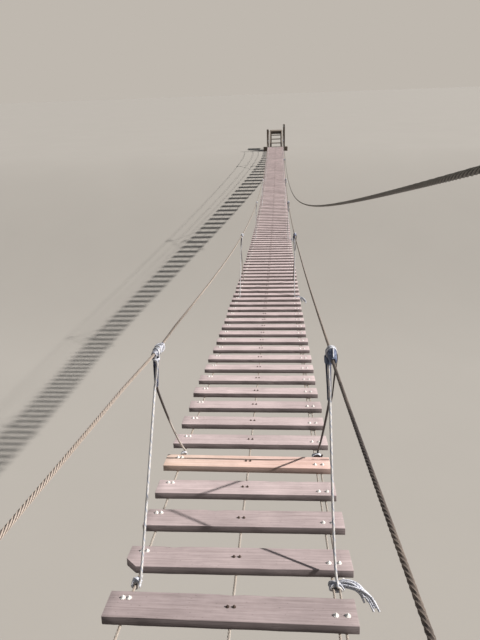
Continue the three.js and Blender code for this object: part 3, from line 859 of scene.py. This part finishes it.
class Hanger:
    """Where one V hanger's ropes and cords run."""

    def __init__(self, side, bay):
        self.side, self.fork = side, SLEEVE_END[side]
        self.middle = (bay + 0.5) * PER_BAY * PITCH
        self.line = deck_rope_line(side)
        self.x = sum(ROPE_AT[side]) / len(ROPE_AT[side])
        self.half = ROPE_RADIUS[side] + (ROPE_AT[side][-1] - ROPE_AT[side][0]) / 2
        self.lashing = {key: [value * MM for value in values] for key, values in LASHING[side].items()}
        self.top = hand_point(side, self.middle)
        self.down = (at(self.x, self.middle, self.line(self.middle)) - self.top).normalized()
        self.along = heading(hand_line, self.middle)
        self.across = self.along.cross(Vector((0, 0, 1))).normalized()
        self.up = self.across.cross(self.along).normalized()
        self.rng = random.Random(31 * bay + (5 if side == "left" else 9))

    def about_cable(self, wide, tall, turn, y):
        """A point round the hand cable: turn 0 is on the right, a quarter turn is on top."""
        return self.top + self.across * wide * math.cos(turn) + self.up * tall * math.sin(turn) + self.along * y

    def below(self, distance, x=0.0, y=0.0):
        """A point beside the sleeve's middle, which hangs a little aside of the hand cable."""
        top, fork = SLEEVE_ASIDE[self.side]
        aside = top + (fork - top) * clamped(distance / self.fork)
        return self.top + self.down * distance + Vector((x + aside, y, 0))

    def foot(self, way):
        """A knot's middle, the direction in which the side rope runs there, and the one square to it and upwards."""
        y = self.middle + way * LEG_REACH + (NEAR_SHIFT[self.side] if way < 0 else 0)
        run = heading(self.line, y)
        return at(self.x, y, self.line(y) + lifted(self.x, y)), run, Vector((1, 0, 0)).cross(run).normalized()

    def about_foot(self, way, wide, tall, turn, y):
        """A point round the side rope or ropes at a knot."""
        foot, run, up = self.foot(way)
        return foot + Vector((wide * math.cos(turn), 0, 0)) + up * tall * math.sin(turn) + run * y

    def knot(self, way, radius):
        """Three turns about the side rope or ropes, with a short tail, from the tail to the leg."""
        foot, run, up = self.foot(way)
        wide, tall = (size + radius + 0.6 * MM for size in (self.half, ROPE_RADIUS[self.side]))
        start, pitch = -1.5 * 2.15 * radius, 2.15 * radius
        points = [foot + Vector((wide + 9 * MM, 0, 26 * MM)) + run * start * way]
        points += [self.about_foot(way, wide, tall, i * math.pi / 6, way * (start + pitch * i / 12)) for i in range(37)]
        leave = {"left": 20 * MM, "right": -8 * MM}[self.side] if way < 0 else 6 * MM
        last = foot - run * way * (start + 0.2 * pitch) + up * (tall + radius * 1.5) + Vector((leave, 0, 0))
        points.append(last)
        if self.side == "left" and way < 0:
            points.append(last + Vector((8, 12, 26)) * MM)
        return points

    def lean(self, distance):
        """How the two strands in the serving lie: nearly side by side at the top, in a row at the fork."""
        return 0.6 + (math.pi / 2 - 0.6) * clamped(distance / self.fork)

    def strand(self, way, share):
        """Middle of a strand inside the serving."""
        turn, aside = self.lean(self.fork * share), way * 6.2 * MM
        return self.below(self.fork * share, aside * math.cos(turn), aside * math.sin(turn))

    def front(self, share, radius, cord):
        """Middle of the rope that lies down the front of the serving."""
        distance = self.fork * share
        turn = self.lean(distance)
        wide, thin = SERVING[self.side]
        reach = math.hypot(wide * math.sin(turn), thin * math.cos(turn)) + 2 * cord + radius
        start, end = {"left": (0.85, -0.15), "right": (-0.12, 0.05)}[self.side]
        aside = start + (end - start) * share
        return self.below(distance, reach * math.sin(aside), -reach * math.cos(aside))

    def main_rope(self, radius, cord):
        """A rope from the near knot up the front of the serving, round the hand cable, and down inside it."""
        knot = self.knot(-1, radius)
        up = [self.front(share, radius, cord) for share in (0.97, 0.8, 0.6, 0.42, 0.27)]
        around, pitch = CABLE_RADIUS + radius + 0.5 * MM, 2.1 * radius
        coil = [self.about_cable(around, around, i * math.pi / 6 - math.pi / 2 - 0.5, pitch * (i / 12 - 1.75))
                for i in range(43)]
        return (knot + [up[0].lerp(knot[-1], 0.04)] + up + [self.below(0.035, 2 * MM, -20 * MM)] + coil
                + [self.strand(-1, share) for share in (0.12, 0.4, 0.85)])

    def far_rope(self, radius):
        """A slack rope from inside the serving to the far knot."""
        start = [self.strand(1, share) for share in (0.42, 0.7, 1)] + [self.below(self.fork + 0.03, 0, 14 * MM)]
        end = self.knot(1, radius)[::-1]
        sag = {"left": 44 * MM, "right": 30 * MM}[self.side]
        hung = [start[-1].lerp(end[0], t) - Vector((0, 0, 4 * sag * t * (1 - t)))
                for t in (0.15, 0.3, 0.5, 0.7, 0.85)]
        return start + hung + end

    def serving(self, cord):
        """Turns of thin cord that bind the two strands below the hand cable."""
        wide, thin = (half + cord for half in SERVING[self.side])
        points = []
        for distance, turn in winds(20 * MM, self.fork - 2 * MM, 2.1 * cord):
            flat = Vector((wide * math.cos(turn), thin * math.sin(turn), 0))
            flat.rotate(Matrix.Rotation(self.lean(distance), 3, "Z"))
            points.append(self.below(distance, flat.x, flat.y))
        return points

    def collar(self, radius, cord):
        """Turns round the serving and the rope in front of it, where they come out of the lashing."""
        start, end = {"left": (27 * MM, 41 * MM), "right": (20 * MM, 54 * MM)}[self.side]
        wide, deep = SERVING[self.side][0] + 1.3 * MM + cord, 11 * MM + cord + radius
        return [self.below(distance, 2 * MM + wide * math.cos(turn), -8 * MM + deep * math.sin(turn))
                for distance, turn in winds(start, end, 2.1 * cord)]

    def swell(self, y):
        """How full the lashing is at a place along the cable, from 0 at its ends to 1."""
        low, full, still, high = self.lashing["along"]
        return math.sqrt(clamped(min((y - low) / (full - low), (high - y) / (high - still))))

    def on_lashing(self, turn, y, proud=0.0):
        """A point over the lashing: proud of its cords by so much."""
        share = self.swell(y)
        aside, up = self.lashing["middle"]
        wide, tall = (CABLE_RADIUS + 3 * MM + (size - CABLE_RADIUS - 6 * MM) * share + proud
                      for size in self.lashing["half"])
        return self.about_cable(wide, tall, turn, y) + (self.across * aside + self.up * up) * share

    def winding(self, cord):
        """Turns of cord over the white rope's turns, from one end of the lashing to the other."""
        low, high = self.lashing["along"][0], self.lashing["along"][-1]
        return [self.on_lashing(turn, y + 4 * MM * math.cos(turn) * self.swell(y))
                for y, turn in winds(low, high, 2.15 * cord)]

    def crossed(self, cord, tilt, lean, shift, layer):
        """A turn of cord that crosses the lashing: its slants sideways and upwards and its place, in millimetres."""
        turns = [i * math.pi / 10 for i in range(22)]
        return [self.on_lashing(turn, (tilt * math.cos(turn) + lean * math.sin(turn) + shift) * MM,
                                cord * (1.9 + layer)) for turn in turns]

    def laid_along(self, cord):
        """A cord that lies along the lashing's top."""
        return [self.on_lashing(1.3 + 0.3 * i / 14, -0.02 - 0.127 * i / 14, cord * 1.9) for i in range(15)]

    def brace(self):
        """Two cords from the lashing's outer side down to the fork."""
        places = ((-0.01, 34, -14), (0.02, 41, -12), (0.055, 37, -10), (0.145, 24, -10), (0.24, 13, -9),
                  (self.fork + 0.005, 7, -9), (self.fork + 0.03, 2, -8))
        return [rounded([self.below(down, (x * share + 1) * MM, y * MM) for down, x, y in places])
                for share in (1, 0.85)]

    def knot_wrap(self, way, rope, cord, turns, slant, loose):
        """Cord wound over a knot at a slant, in millimetres."""
        wide = (self.half + 2 * rope + cord) * loose - 2.5 * MM
        tall = (ROPE_RADIUS[self.side] + 2 * rope + cord) * loose
        points = []
        for i in range(12 * turns + 1):
            turn = i * math.pi / 6
            y = 2.3 * cord * (i / 12 - turns / 2) + slant * MM * math.cos(turn)
            points.append(self.about_foot(way, wide * (1 + 0.1 * math.sin(3.7 * i)), tall, turn, y))
        return points

    def loose_ends(self):
        """A bunch of short cord ends that stands out of the near right knot and droops."""
        start = self.foot(-1)[0] + Vector((26, 6, 13)) * MM
        ends = []
        for i in range(11):
            long = self.rng.uniform(0.085, 0.15)
            ring = Vector((0, math.cos(i * 0.9), math.sin(i * 0.9))) * (5 * MM if i > 6 else 13 * MM)
            fan = ring * self.rng.uniform(0.3, 1.7)
            ends.append(rounded([start - Vector((20, 0, 5)) * MM, start + ring,
                                 start + Vector((0.45 * long, -0.12 * long, 5 * MM)) + ring * 1.2,
                                 start + Vector((0.8, -0.32, -0.08)) * long + fan,
                                 start + Vector((1.0, -0.55, -0.4)) * long + fan * 1.3]))
        return ends


class BuildHangers(bpy.types.Operator):
    """V hangers: rope legs, the lashing on the hand cable, the bound sleeve and the knots"""

    bl_idname = "footbridge.hangers"
    bl_label = "Hangers"

    def execute(self, context):
        for side in ("left", "right"):
            for bay in range(BAY_COUNT):
                self.build(Hanger(side, bay), f"{side}_hanger_{bay + 1}", bay < 2)
        return {"FINISHED"}

    def build(self, hanger, name, near):
        rope, cord, thin = 6 * MM, 2.6 * MM, 2 * MM
        right = hanger.side == "right"
        sides, step, fine = (10, 6 * MM, 4 * MM) if near else (8, 12 * MM, 7 * MM)

        def place(part, look, mesh, *node):
            place_piece(mesh, f"{name}_{part}", look, "hanger_rope", *node, sharp=75)

        place("rope", "white cord", plaited([rounded(hanger.main_rope(rope, thin))], rope, sides, step), name)
        # Painted shade: the far rope is dark all along on the right, and on the left from the serving over about a
        # third of its length
        mesh = plaited([rounded(hanger.far_rope(rope))], rope, sides, step)
        place("far_rope", "soiled cord", dirt_and_painted_shade(mesh, sides, 1.2 if right else 0.34), name)
        place("serving", "navy cord", plaited([hanger.serving(thin)], thin, 6, fine))
        wound, collar = [hanger.winding(cord)], [hanger.collar(rope, cord)]
        if right:
            place("winding", "blue cord", plaited(wound + collar, cord, 6, fine))
            pale = self.crossings(hanger, cord) + [hanger.laid_along(cord)]
        else:
            place("winding", "pale blue cord", plaited(wound, cord, 6, fine))
            pale = self.crossings(hanger, cord) + collar
        pale += [rounded(hanger.knot_wrap(way, rope, cord, *wrap), 1)
                 for way, *wrap in ((-1, 3, 10, 1.0), (1, 3, 10, 1.0), (-1, 2, -14, 1.06), (1, 2, -9, 1.0))]
        place("lashing", "pale blue cord", plaited(pale, 1.1 * cord, 6, fine, flecks=True))
        if right:
            place("loose_ends", "pale blue cord", plaited(hanger.loose_ends(), 4.6 * MM, 6, fine, flecks=True))
            place("brace", "soiled cord", dirt_and_painted_shade(plaited(hanger.brace(), thin, 6, fine), 6, 9))

    @staticmethod
    def crossings(hanger, cord):
        """Slanting turns over the lashing."""
        turns = {"left": ((-14, 0, -22, 0), (-16, 0, 22, 0), (18, 0, 52, 1)),
                 "right": ((6, -24, -24, 0), (8, -24, -16, 0), (-10, -20, -8, 0), (9, -20, 3, 0))}
        return [rounded(hanger.crossed(cord, *turn), 1) for turn in turns[hanger.side]]


# Timber at the ends
def end_place(end, x0, y0, z0, x1, y1, z1):
    """Lowest and highest corner of a box that is given as for the near end."""
    a, b = sorted((end["at"](y0), end["at"](y1)))
    return at(x0, a, end["base"] + z0), at(x1, b, end["base"] + z1)


def timber(bm, low, high, axis, rng, tone=1.0, edge=4 * MM, wear=0.8):
    """A squared timber between two corners, with its grain along the axis."""
    order = {"x": (0, 1, 2), "z": (2, 0, 1)}[axis]
    size = Vector([(high - low)[k] for k in order])
    turn = Matrix([[float(row == k) for k in order] for row in range(3)]).to_4x4()
    template = board_template(size, max(2, int(size.x / 0.09)), 2 if size.y > 0.08 else 1, edge)
    lay_board(bm, template, size, Matrix.Translation((low + high) / 2) @ turn, rng, wear, tone)
    bpy.data.meshes.remove(template)


def place_timber(bm, node, part):
    place_piece(to_mesh(bm), f"{node}_{part}", "ground timber", "timber", node)


class BuildSills(bpy.types.Operator):
    """Sills that lie on the ground and carry the posts"""

    bl_idname = "footbridge.sills"
    bl_label = "Sills"

    def execute(self, context):
        for seed, name in enumerate(ENDS):
            node = f"{name}_sill"
            bm = bmesh.new()
            timber(bm, *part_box(node), "x", random.Random(seed + 3), 0.95, 6 * MM, 0.5)
            place_timber(bm, node, "timber")
        return {"FINISHED"}


class BuildPosts(bpy.types.Operator):
    """Posts, with weathered tops"""

    bl_idname = "footbridge.posts"
    bl_label = "Posts"

    def execute(self, context):
        for seed, name in enumerate(ENDS):
            for side in ("left", "right"):
                node = f"{name}_{side}_post"
                low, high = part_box(node)
                bm = bmesh.new()
                timber(bm, low, high, "z", random.Random(seed * 5 + len(side)), 1.0, 5 * MM, 0.5)
                # The top is cut to a low point, so that rain runs off
                middle = (low + high) / 2
                for vert in bm.verts:
                    over = vert.co.z - (high.z - 9 * MM)
                    if over > 0:
                        reach = max(abs(vert.co.x - middle.x), abs(vert.co.y - middle.y))
                        vert.co.z -= over * 0.2 + reach * 0.30
                place_timber(bm, node, "timber")
        return {"FINISHED"}


class BuildSteps(bpy.types.Operator):
    """Flights of steps: two stringers and three treads each"""

    bl_idname = "footbridge.steps"
    bl_label = "Steps"

    def execute(self, context):
        for seed, (name, end) in enumerate(ENDS.items()):
            rng = random.Random(seed + 21)
            for i in range(1, STEP["count"] + 1):
                node = f"{name}_tread_{i}"
                low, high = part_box(node)
                split = (low.y + high.y) / 2
                bm = bmesh.new()
                for a, b in ((low.y, split - 2.5 * MM), (split + 2.5 * MM, high.y)):
                    corners = Vector((low.x, a, low.z)), Vector((high.x, b, high.z))
                    timber(bm, *corners, "x", rng, rng.uniform(0.9, 1.05), 3 * MM)
                place_timber(bm, node, "boards")
            for side in ("left", "right"):
                node = f"{name}_{side}_stringer"
                place_timber(self.stringer(node, end["way"], rng), node, "board")
        return {"FINISHED"}

    @staticmethod
    def stringer(node, way, rng):
        """The node's own shape, with eased edges, cut up along its length."""
        bm = bmesh.new()
        bm.from_mesh(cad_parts[node].data)
        bmesh.ops.remove_doubles(bm, verts=bm.verts, dist=1e-5)
        bmesh.ops.dissolve_limit(bm, angle_limit=math.radians(2), verts=bm.verts, edges=bm.edges)
        low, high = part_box(node)
        for part in range(1, 9):
            y = low.y + (high.y - low.y) * part / 9
            bmesh.ops.bisect_plane(bm, geom=everything(bm), plane_co=(0, y, 0), plane_no=(0, 1, 0))
        bevel(bm, [e for e in bm.edges if e.calc_face_angle(0.0) > math.radians(20)], 4 * MM)
        outwards(bm)
        grain, shade = board_layers(bm)
        turn = Matrix.Rotation(way * math.atan2(STEP["rise"], STEP["going"]), 3, "X")
        away = Vector((rng.uniform(1, 40), 0.02, -0.05))
        for vert in bm.verts:
            local = turn @ (vert.co - (low + high) / 2)
            vert[grain] = Vector((local.y, local.x, local.z)) + away
            vert[shade] = 0.95
        return bm


class BuildLandings(bpy.types.Operator):
    """Landings of boards on beams and four legs"""

    bl_idname = "footbridge.landings"
    bl_label = "Landings"

    def execute(self, context):
        left, right = FLIGHT_X - LANDING["half"], FLIGHT_X + LANDING["half"]
        front = -STEP["start"] - STEP["going"] * STEP["count"]
        back = front - LANDING["depth"]
        top = SILL.z + STEP["rise"] * (STEP["count"] + 1)
        under = top - LANDING["board"]
        beam, leg = LANDING["wide"], LANDING["leg"]
        boards, gap = 9, 6 * MM
        wide = (LANDING["depth"] - gap * (boards - 1)) / boards
        for seed, (name, end) in enumerate(ENDS.items()):
            rng = random.Random(seed + 41)
            bm = bmesh.new()
            for i in range(boards):
                y = back + i * (wide + gap)
                corners = end_place(end, left, y, under, right, y + wide, top)
                timber(bm, *corners, "x", rng, rng.uniform(0.9, 1.06), 3 * MM)
            for y in (front, back + beam):
                corners = end_place(end, left, y - beam, under - LANDING["beam"], right, y, under - JOIN)
                timber(bm, *corners, "x", rng, 0.92)
            for x in (left, right - leg):
                for y in (front - beam - JOIN, back + leg + beam + JOIN):
                    corners = end_place(end, x, y - leg, 0, x + leg, y, under - JOIN)
                    timber(bm, *corners, "z", rng, 0.95)
            place_timber(bm, f"{name}_landing", "boards")
        return {"FINISHED"}


# Steel fittings
def steel_plate(low, high, edge=1.5 * MM):
    """A flat steel plate with rounded corners and broken edges."""
    size = high - low
    bm = bmesh.new()
    bmesh.ops.create_cube(bm, size=1.0, matrix=Matrix.Translation((low + high) / 2) @ Matrix.Diagonal((*size, 1)))
    bevel(bm, edges_along(bm, size, min(range(3), key=lambda k: size[k])), 8 * MM, 4)
    bevel(bm, [e for e in bm.edges if e.calc_face_angle(0.0) > 1.2], edge, 1)
    return to_mesh(bm)


def spun(start, direction, profile, steps=24):
    """A turned part: profile gives distance along the direction and radius there."""
    bm = bmesh.new()
    verts = [bm.verts.new((radius, 0, z)) for z, radius in profile]
    edges = [bm.edges.new(pair) for pair in zip(verts, verts[1:])]
    bmesh.ops.spin(bm, geom=verts + edges, cent=(0, 0, 0), axis=(0, 0, 1), angle=2 * math.pi, steps=steps,
                   use_merge=True)
    bmesh.ops.remove_doubles(bm, verts=bm.verts, dist=5e-5)
    outwards(bm)
    bmesh.ops.transform(bm, matrix=Matrix.Translation(start) @ turned(direction), verts=bm.verts)
    return to_mesh(bm)


def lip(length, mouth):
    """The last of a socket's profile, where its rope comes out."""
    return [(length, mouth + 0.2 * MM), (length - 3 * MM, mouth), (length - 3 * MM, 1e-5)]


def socket_profile(radius, length, mouth, base):
    """A poured rope socket: a flange, a cone that narrows, and a lip round the rope."""
    return [(base, 1e-5), (base, radius * 1.35), (base + 5 * MM, radius * 1.35), (base + 7 * MM, radius * 1.05),
            (length * 0.35, radius), (length - 9 * MM, radius * 0.86), (length - 7 * MM, radius * 0.98),
            (length - 2 * MM, radius * 0.98), (length, radius * 0.9), *lip(length, mouth)]


def bolts(places, bolt):
    """Nuts on washers, each at a point and facing a direction."""
    head = nut_template(bolt, bolt * 3.2, bolt * 1.5, bolt * 2.3)
    bm = bmesh.new()
    copies(bm, head, [Matrix.Translation(point) @ turned(way) for point, way in places])
    bpy.data.meshes.remove(head)
    return to_mesh(bm)


def place_fitting(parts, node, name):
    """Joins the parts of one fitting."""
    bm = bmesh.new()
    for part in parts:
        bm.from_mesh(part)
        bpy.data.meshes.remove(part)
    place_piece(to_mesh(bm), f"{node}_{name}", "galvanised", "galvanised", node, sharp=30)


class BuildRopeAnchors(bpy.types.Operator):
    """Plates on the sills with a socket for each deck rope"""

    bl_idname = "footbridge.rope_anchors"
    bl_label = "Rope anchors"

    def execute(self, context):
        thick, half, tall = ROPE_PLATE["thick"], ROPE_PLATE["half"], ROPE_PLATE["tall"]
        for name, end in ENDS.items():
            middle = deck_rope_line("centre")(end["at"](0)) - end["base"]
            parts = [steel_plate(*end_place(end, -half, JOIN, middle - tall / 2, half, thick, middle + tall / 2))]
            y = end["at"](thick / 2)
            for which in ("left", "centre", "right"):
                line = deck_rope_line(which)
                profile = socket_profile(12 * MM, ROPE_PLATE["socket"], ROPE_RADIUS[which], thick / 2)
                parts += [spun(at(x, y, line(y)), heading(line, y, end["way"]), profile) for x in ROPE_AT[which]]
            heads = [(at(x, end["at"](thick), end["base"] + middle + z), (0, end["way"], 0))
                     for x in (-0.47, -0.3, -0.13, 0.13, 0.3, 0.48) for z in (-0.026, 0.026)]
            place_fitting([*parts, bolts(heads, 5 * MM)], f"{name}_rope_anchor", "plate")
        return {"FINISHED"}


class BuildSaddles(bpy.types.Operator):
    """Saddles: a bolted plate with the pin that the hand cable bends over"""

    bl_idname = "footbridge.saddles"
    bl_label = "Saddles"

    def execute(self, context):
        profile = [(z * MM, radius * MM) for z, radius in (
            (-3, 0.01), (-3, 21), (0, 21), (1.5, 15.2), (4, 15), (20.5, 15), (21, 21), (22, 22), (25.5, 22), (27, 20),
            (27, 0.01))]
        for name, end in ENDS.items():
            for side in ("left", "right"):
                peak, middle = cable_peak(end, side), pin_place(end, side)[0]
                inward = -OUTWARD[side]
                wall = peak.x - inward * (POST["clear"] - JOIN)
                sheet = wall + inward * 6 * MM
                low = at(min(wall, sheet), peak.y - 0.045, middle.z - 0.065)
                high = at(max(wall, sheet), peak.y + 0.045, middle.z + 0.065)
                heads = [(at(sheet, peak.y + y, middle.z + z), (inward, 0, 0))
                         for y in (-0.031, 0.031) for z in (-0.05, 0.05)]
                pin = spun(at(sheet, middle.y, middle.z), (inward, 0, 0), profile, 32)
                place_fitting([steel_plate(low, high), pin, bolts(heads, 4 * MM)], f"{name}_{side}_saddle", "fitting")
        return {"FINISHED"}


class BuildEyePlates(bpy.types.Operator):
    """Plates on the right posts that hold the safety line"""

    bl_idname = "footbridge.eye_plates"
    bl_label = "Eye plates"

    def execute(self, context):
        thick, half, back = EYE_PLATE["thick"], EYE_PLATE["half"], -POST["back"]
        profile = socket_profile(14 * MM, thick / 2 + EYE_PLATE["socket"], SAFETY["radius"], thick / 2)
        for name, end in ENDS.items():
            y = end["at"](back + thick / 2)
            z = safety_line(y)
            level = z - end["base"]
            left = max(cable_peak(end, "right").x + POST["clear"] + 2 * MM, SAFETY["x"] - half)
            corners = end_place(end, left, back + JOIN, level - half, left + 2 * half, back + thick, level + half)
            heads = [(at(left + half + a, end["at"](back + thick), z + b), (0, end["way"], 0))
                     for a in (-0.03, 0.03) for b in (-0.03, 0.03)]
            socket = spun(at(SAFETY["x"], y, z), heading(safety_line, y, end["way"]), profile)
            place_fitting([steel_plate(*corners), socket, bolts(heads, 4 * MM)], f"{name}_safety_eye", "plate")
        return {"FINISHED"}


class BuildGroundAnchors(bpy.types.Operator):
    """Plates in the ground under the landings, with a socket for each hand cable's stay"""

    bl_idname = "footbridge.ground_anchors"
    bl_label = "Ground anchors"

    def execute(self, context):
        back, half, depth, thick = (ANCHOR[key] for key in ("back", "half", "depth", "thick"))
        length, radius = STAY_SOCKET["to"] - STAY_SOCKET["from"], STAY_SOCKET["radius"]
        profile = [(0, 1e-5), (0, radius * 0.9), (20 * MM, radius), (length * 0.55, radius),
                   (length - 12 * MM, radius * 0.66), (length - 10 * MM, radius * 0.76),
                   (length - 2 * MM, radius * 0.76), (length, radius * 0.7), *lip(length, CABLE_RADIUS)]
        for name, end in ENDS.items():
            corners = end_place(end, -half, -back - depth / 2, 0, half, -back + depth / 2, thick)
            parts = [steel_plate(*corners, 2.5 * MM)]
            for side in ("left", "right"):
                run = on_stay(end, side, 1.0) - on_stay(end, side, 0.0)
                parts.append(spun(at(*on_stay(end, side, STAY_SOCKET["from"])), run, profile))
            heads = [(at(x, end["at"](y - back), end["base"] + thick), (0, 0, 1))
                     for x in (-0.47, -0.2, 0.2, 0.47) for y in (-0.07, 0.07)]
            place_fitting([*parts, bolts(heads, 8 * MM)], f"{name}_ground_anchor", "plate")
        return {"FINISHED"}


# Studio
class BuildStage(bpy.types.Operator):
    """Pale floor that carries both ends, soft light and the camera"""

    bl_idname = "footbridge.stage"
    bl_label = "Studio"

    def execute(self, context):
        studio = context.scene.footbridge_studio
        self.floor(studio)
        self.lights(context, studio)
        self.camera(context)
        return {"FINISHED"}

    @staticmethod
    def floor(studio):
        """One smooth sheet: level under each end, and lower between them."""
        bm = bmesh.new()
        bmesh.ops.create_grid(bm, x_segments=2, y_segments=300, size=1.0)
        for vert in bm.verts:
            # Close rows between the sills, wide ones beyond them
            y = SPAN / 2 + 24 * vert.co.y + 280 * vert.co.y ** 21
            down = studio.valley * ease(y, FRONT + 0.05, FRONT + 4.2)
            down += (FAR_DROP - studio.valley) * ease(y, FRONT + SPAN - 17, FRONT + SPAN - 0.05)
            vert.co = (vert.co.x * 300, y, -down - 1 * MM)
        mesh = to_mesh(bm)
        mesh.name = "studio_floor"
        paint = Nodes(bpy.data.materials.new("Matt pale studio floor"))
        mesh.materials.append(floor_paint(paint, tuple(studio.floor)))
        mesh.shade_smooth()
        floor = bpy.data.objects.new("studio_floor", mesh)
        bpy.context.scene.collection.objects.link(floor)

    @staticmethod
    def lights(context, studio):
        data = bpy.data.lights.new("Key light", "SUN")
        data.energy = studio.sun
        data.angle = math.radians(1.4)
        data.color = (1.0, 0.96, 0.92)
        key = bpy.data.objects.new("Key light", data)
        # From the right and a little from the far end, 37 degrees up
        key.matrix_world = turned(Vector((1.32, 0.06, 1.0)))
        context.scene.collection.objects.link(key)
        world = bpy.data.worlds.new("Studio")
        nodes = Nodes(world)
        # Pale as the floor round the horizon, and dim overhead, so that the key light keeps its shadows
        toward = nodes.add("SeparateXYZ", {0: nodes.coordinates("Generated")}, "Z")
        high = nodes.ranged(toward, 0.13, 0.42, 0.0, 1.0, interpolation_type="SMOOTHSTEP")
        shade = nodes.mixed(high, (*studio.horizon, 1), (*[studio.fill * part for part in (0.86, 0.92, 1.0)], 1))
        nodes.add("OutputWorld", {"Surface": nodes.add("Background", {"Color": shade, "Strength": 1.0})})
        context.scene.world = world
        context.scene.view_settings.view_transform = "Standard"

    @staticmethod
    def camera(context):
        pitch, yaw, roll = (math.radians(a) for a in (24.044, -4.707, -2.093))
        data = bpy.data.cameras.new("Camera")
        data.lens, data.sensor_width, data.sensor_fit = 29.25, 36, "AUTO"
        data.clip_start, data.clip_end = 0.05, 300
        camera = bpy.data.objects.new("Camera", data)
        turn = Matrix.Rotation(-yaw, 4, "Z") @ Matrix.Rotation(math.pi / 2 - pitch, 4, "X")
        turn = turn @ Matrix.Rotation(roll, 4, "Z")
        camera.matrix_world = Matrix.Translation((0.1926, 0.8996, 1.6655)) @ turn
        context.scene.collection.objects.link(camera)
        context.scene.camera = camera


# Settings
def colour_setting(name, description, code):
    return bpy.props.FloatVectorProperty(name=name, description=description, subtype="COLOR",
                                         default=colour(code)[:3])


class FootbridgeSizes(bpy.types.PropertyGroup):
    new_plank: bpy.props.IntProperty(
        name="New plank", description="Which plank has been replaced, counted from the near end",
        default=11, min=0, max=PER_BAY - 1)
    clipped_plank: bpy.props.IntProperty(
        name="Clipped plank", description="Which plank has a corner sawn off, counted from the near end",
        default=8, min=0, max=PER_BAY - 1)
    wear: bpy.props.FloatProperty(
        name="Wear", description="How rough the planks' edges and ends are", default=1.0, min=0, max=2)


class FootbridgeColours(bpy.types.PropertyGroup):
    plank_light: colour_setting("Plank, light", "Light streaks of the old planks", "#cab9b9")
    plank_dark: colour_setting("Plank, dark", "Dark streaks of the old planks", "#af9f9e")
    new_plank: colour_setting("New plank", "The replaced plank", "#e7d2c7")
    deck_rope: colour_setting("Deck ropes", "Crests of the ropes under the planks", "#d6cbc0")
    hand_cable: colour_setting("Hand cables", "Crests of the hand cables", "#bbada1")
    hanger_rope: colour_setting("Hanger rope", "Plaited rope of the hangers", "#dcd8d5")
    serving: colour_setting("Serving", "Thin cord that binds the hangers' tops", "#20243a")


class FootbridgeStudio(bpy.types.PropertyGroup):
    sun: bpy.props.FloatProperty(
        name="Key light", description="Strength of the light from the right", default=6.4, min=0)
    fill: bpy.props.FloatProperty(
        name="Fill light", description="Strength of the soft light all round", default=0.2, min=0)
    horizon: colour_setting("Horizon", "Colour of the studio behind the floor", "#bfb8af")
    valley: bpy.props.FloatProperty(
        name="Valley", description="Depth of the floor between the ends", default=8.0, min=2.5, max=12,
        unit="LENGTH")
    floor: colour_setting("Floor", "Colour of the floor", "#a09c96")


STEPS = (BuildStage, BuildDeck, BuildFixings, BuildDeckRopes, BuildHandCables, BuildSafetyLine, BuildHangers,
         BuildSills, BuildPosts, BuildSteps, BuildLandings, BuildRopeAnchors, BuildSaddles, BuildEyePlates,
         BuildGroundAnchors)
SETTINGS = {"footbridge_sizes": FootbridgeSizes, "footbridge_colours": FootbridgeColours,
            "footbridge_studio": FootbridgeStudio}


class FOOTBRIDGE_PT_panel(bpy.types.Panel):
    """Settings and building steps of the footbridge"""

    bl_idname = "FOOTBRIDGE_PT_panel"
    bl_label = "Footbridge"
    bl_space_type = "VIEW_3D"
    bl_region_type = "UI"
    bl_category = "Footbridge"

    def draw(self, context):
        for name, group in SETTINGS.items():
            box = self.layout.box()
            for prop in group.__annotations__:
                box.prop(getattr(context.scene, name), prop)
        for step in STEPS:
            self.layout.operator(step.bl_idname)


CLASSES = (*SETTINGS.values(), *STEPS, FOOTBRIDGE_PT_panel)


def register():
    for cls in CLASSES:
        bpy.utils.register_class(cls)
    for name, group in SETTINGS.items():
        setattr(bpy.types.Scene, name, bpy.props.PointerProperty(type=group))


def unregister():
    for name in SETTINGS:
        delattr(bpy.types.Scene, name)
    for cls in reversed(CLASSES):
        bpy.utils.unregister_class(cls)


def main():
    register()
    for step in STEPS:
        group, name = step.bl_idname.split(".")
        getattr(getattr(bpy.ops, group), name)()


if __name__ == "__main__":
    main()
